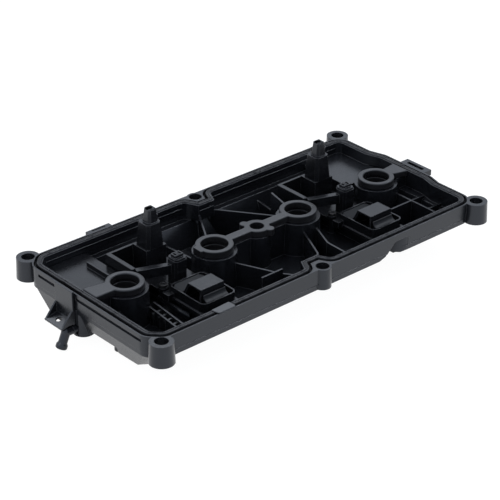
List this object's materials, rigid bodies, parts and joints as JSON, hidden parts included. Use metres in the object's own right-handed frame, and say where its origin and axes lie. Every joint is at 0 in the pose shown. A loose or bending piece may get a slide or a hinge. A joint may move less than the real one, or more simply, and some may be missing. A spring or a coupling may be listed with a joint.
{
  "type": "cylinder head cover",
  "caption": "Moulded plastic cylinder head cover, gasket side up, with plug wells, baffles, drain towers, bolt bosses and a breather connector.",
  "frame": {"origin": "axis of the centre bolt hole on the gasket plane", "axes": "+X along the row of plug wells away from the breather end, +Z out of the open gasket side"},
  "size_m": [0.4477, 0.2248, 0.0939],
  "materials": {
    "black_nylon": "satin moulded glass-filled nylon",
    "baffle_nylon": "satin moulded nylon",
    "black_rubber": "matt moulded rubber",
    "zinc_steel": "zinc plated",
    "insert_brass": "machined"
  },
  "bodies": {
    "cover": {"cover_shell": "black_nylon", "perimeter_gasket": "black_rubber", "well_gasket_left": "black_rubber", "well_gasket_centre": "black_rubber", "well_gasket_right": "black_rubber", "tube_seal_1": "black_rubber", "tube_seal_2": "black_rubber", "tube_seal_3": "black_rubber", "tube_seal_4": "black_rubber", "separator_plate": "baffle_nylon", "baffle_left": "baffle_nylon", "drain_tube_left": "baffle_nylon", "drain_plug_left": "baffle_nylon", "baffle_right": "baffle_nylon", "drain_tube_right": "baffle_nylon", "drain_plug_right": "baffle_nylon", "bolt_sleeves": "zinc_steel", "coil_screw_inserts": "insert_brass", "baffle_screws": "zinc_steel", "end_bracket": "black_nylon", "pcv_body": "black_nylon", "pcv_o_ring": "black_rubber", "pcv_seat": "black_nylon", "pcv_spring": "zinc_steel", "hose_barb": "black_nylon"},
    "plunger": {"pcv_plunger": "black_nylon"}
  },
  "joints": [
    {"name": "plunger_slide", "type": "slide", "parent": "cover", "child": "plunger", "axis": [0, 0, -1], "range_m": [0, 0.003], "stiffness_N_per_m": 200, "springref_m": -0.002, "deforming": ["pcv_spring"]}
  ]
}
